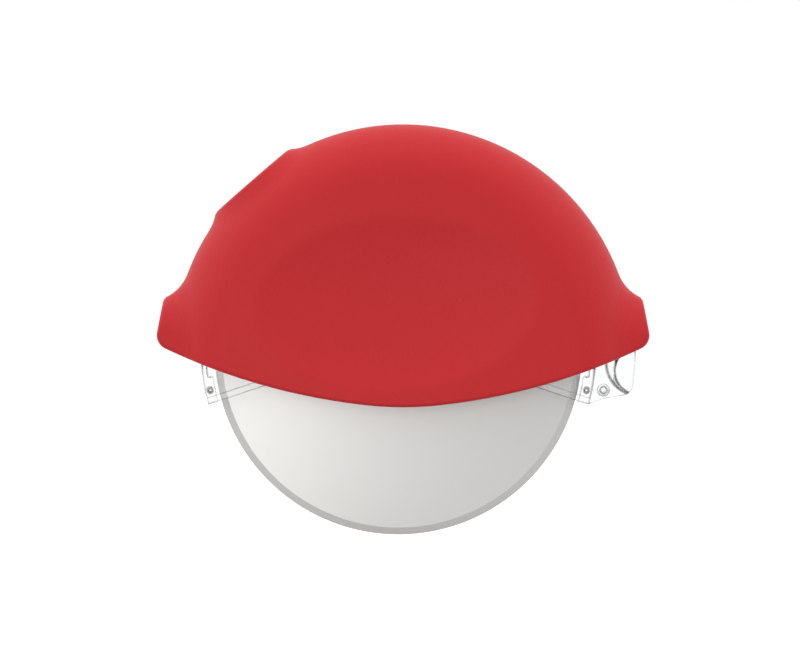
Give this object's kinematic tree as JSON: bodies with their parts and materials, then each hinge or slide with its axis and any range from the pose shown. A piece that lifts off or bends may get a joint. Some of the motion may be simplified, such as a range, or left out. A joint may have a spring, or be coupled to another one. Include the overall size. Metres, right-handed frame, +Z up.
{
  "type": "palm pizza cutter wheel",
  "caption": "Palm-held pizza cutter: a domed red handle in two shells, a steel cutting wheel that spins on a hub, and a clear guard that swings round over the edge.",
  "frame": {"origin": "in the blade's middle plane, below the middle of the handle, level with the lowest point of the blade", "axes": "+X to the right as seen from the front, along the handle's length; +Y away from the viewer, along the axle; +Z up"},
  "size_m": [0.1336, 0.03, 0.1117],
  "materials": {
    "handle_red": "fine-grained satin moulded plastic",
    "blade_steel": "satin stainless steel with a ground bevel",
    "pin_steel": "turned stainless steel",
    "screw_steel": "plated steel",
    "hub_plastic": "white acetal",
    "washer_plastic": "natural nylon",
    "guard_clear": "clear moulded plastic"
  },
  "bodies": {
    "handle": {"handle_front_shell": "handle_red", "handle_back_shell": "handle_red", "handle_screws": "screw_steel", "axle_pin": "pin_steel", "guard_washer_front": "washer_plastic", "guard_washer_back": "washer_plastic"},
    "guard": {"guard_front_half": "guard_clear", "guard_back_half": "guard_clear"},
    "wheel": {"blade": "blade_steel", "blade_hub_front": "hub_plastic", "blade_hub_back": "hub_plastic"}
  },
  "joints": [
    {"name": "guard_swing", "type": "hinge", "parent": "handle", "child": "guard", "pos_m": [-0.0013, 0, 0.05], "axis": [0, 1, 0], "range_deg": [0, 171]},
    {"name": "blade_spin", "type": "hinge", "parent": "handle", "child": "wheel", "pos_m": [-0.0013, 0, 0.05], "axis": [0, 1, 0], "continuous": true}
  ]
}
